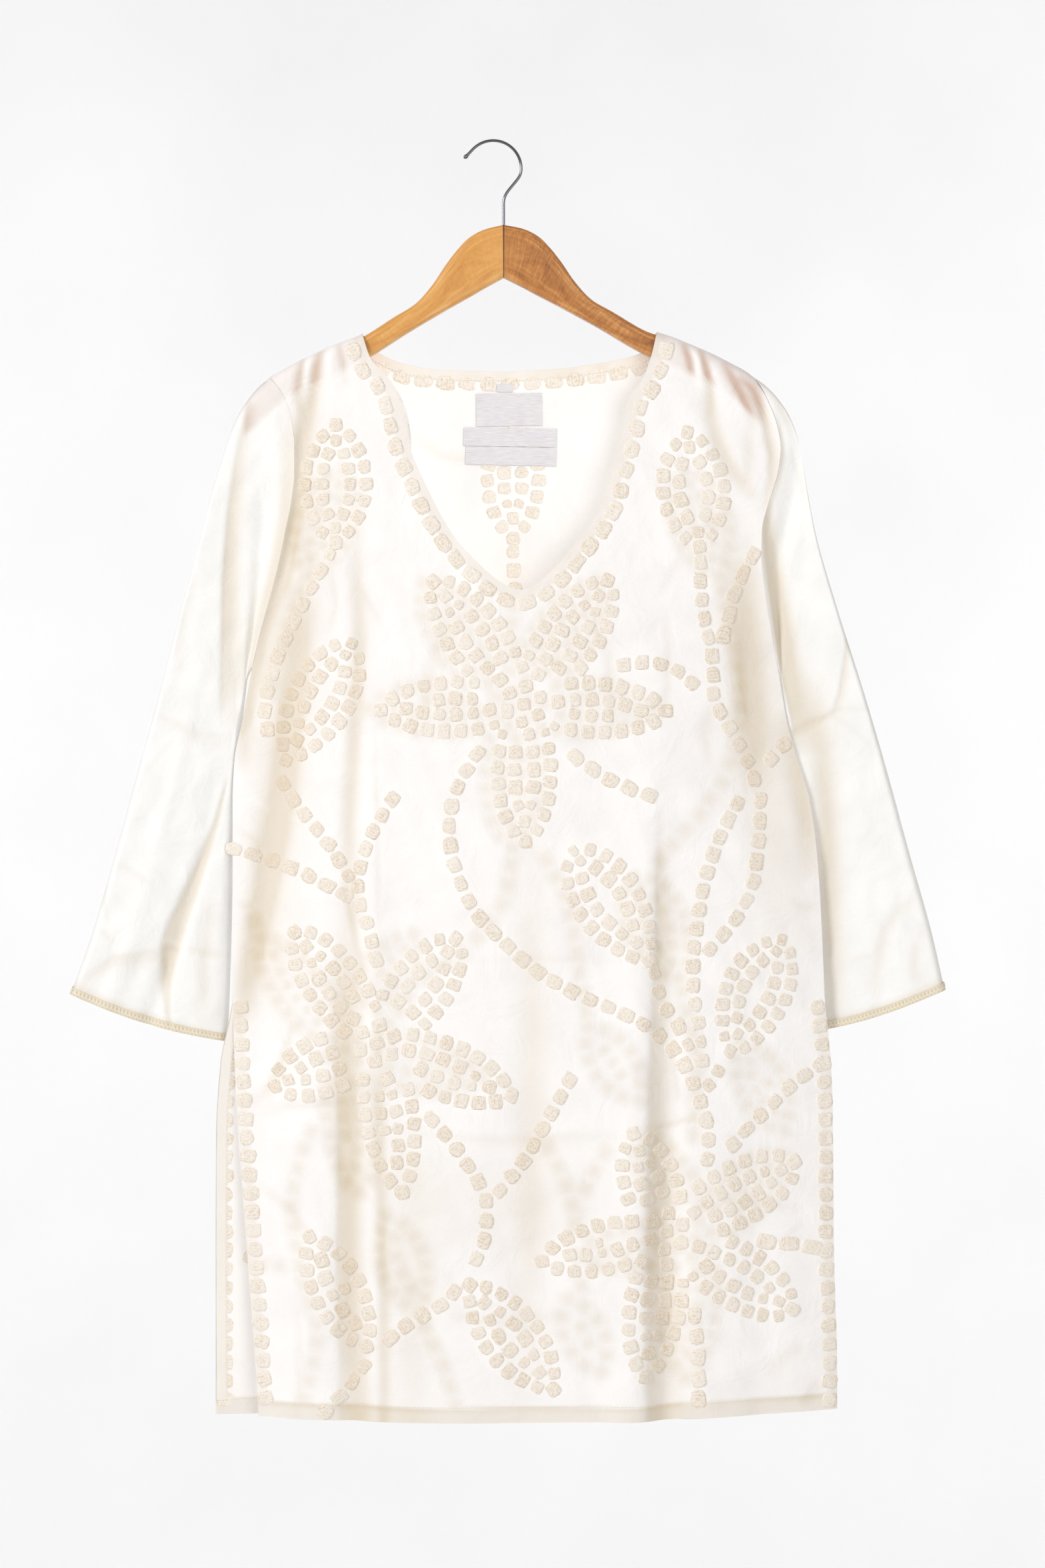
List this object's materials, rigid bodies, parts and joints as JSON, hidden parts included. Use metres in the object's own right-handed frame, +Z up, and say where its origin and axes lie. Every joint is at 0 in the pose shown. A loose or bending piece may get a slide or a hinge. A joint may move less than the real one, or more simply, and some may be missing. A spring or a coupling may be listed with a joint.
{
  "type": "kurta tunic on a wooden hanger",
  "caption": "Hip-length V-neck cotton kurta tunic with three-quarter sleeves and side slits, embroidered with flowers and leaves, on a contoured wooden hanger with a wire hook.",
  "frame": {"origin": "inside top of the hook's crown, where the rail carries it", "axes": "+Z up along the hanging garment, -Y out of its front, +X to the right as its front is looked at"},
  "size_m": [0.7011, 0.0629, 1.0203],
  "materials": {
    "cotton_voile": "thin off-white plain-weave cotton, matt",
    "cotton_facing": "pale grey-beige cotton bias strip, matt",
    "cotton_braid": "tan woven braid, dull sheen",
    "label_satin": "plain pale grey woven satin",
    "beech_honey": "clear-lacquered, honey",
    "beech_amber": "clear-lacquered, darker figured",
    "plated_wire": "bright-plated steel wire"
  },
  "bodies": {
    "root": {"front_panel": "cotton_voile", "back_panel": "cotton_voile", "sleeve_left": "cotton_voile", "sleeve_right": "cotton_voile", "cuff_trim_left": "cotton_braid", "cuff_trim_right": "cotton_braid", "neck_facing_front": "cotton_facing", "neck_facing_back": "cotton_facing", "label_size": "label_satin", "label_main": "label_satin", "label_care_upper": "label_satin", "label_care_lower": "label_satin", "hanger_left": "beech_honey", "hanger_right": "beech_amber", "hook": "plated_wire"}
  },
  "joints": []
}
